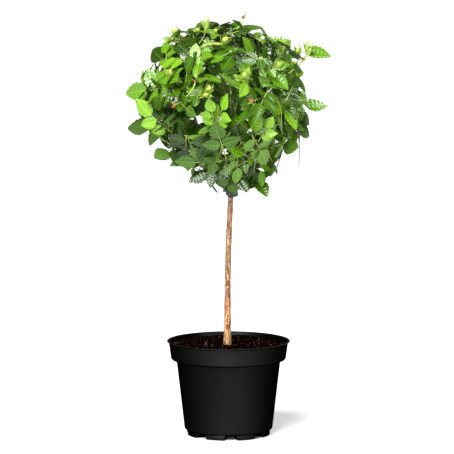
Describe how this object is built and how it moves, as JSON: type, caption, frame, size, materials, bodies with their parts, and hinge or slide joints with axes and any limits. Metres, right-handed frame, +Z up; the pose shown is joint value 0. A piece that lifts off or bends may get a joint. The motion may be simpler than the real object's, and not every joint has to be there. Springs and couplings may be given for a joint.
{
  "type": "standard patio rose in a nursery pot",
  "caption": "Lollipop-shaped standard rose: a round leafy head with green flower buds on a slender bare stem, growing in a round black nursery pot.",
  "frame": {"origin": "centre of the pot's underside, where its middle foot stands on the floor", "axes": "+Z up along the pot's axis, -Y towards the viewer of the picture, +X to that viewer's right"},
  "size_m": [0.3792, 0.3383, 0.795],
  "materials": {
    "pot_plastic": "satin moulded black plastic",
    "potting_soil": "loose moist compost with bark crumbs",
    "bark": "pale tan young bark with dark specks and scars",
    "graft_bark": "rough dark grey sealed bark",
    "green_cane": "smooth green young wood",
    "foliage": "glossy leaf green, lighter on young leaves and buds"
  },
  "bodies": {
    "root": {"pot": "pot_plastic", "soil": "potting_soil", "trunk": "bark", "graft": "graft_bark", "bough_low_1": "green_cane", "bough_low_2": "green_cane", "bough_low_3": "green_cane", "bough_high_1": "green_cane", "bough_high_2": "green_cane", "bough_high_3": "green_cane", "bough_top_1": "green_cane", "leaves_low_1": "foliage", "leaves_low_2": "foliage", "leaves_low_3": "foliage", "leaves_high_1": "foliage", "leaves_high_2": "foliage", "leaves_high_3": "foliage", "leaves_top_1": "foliage"}
  },
  "joints": []
}
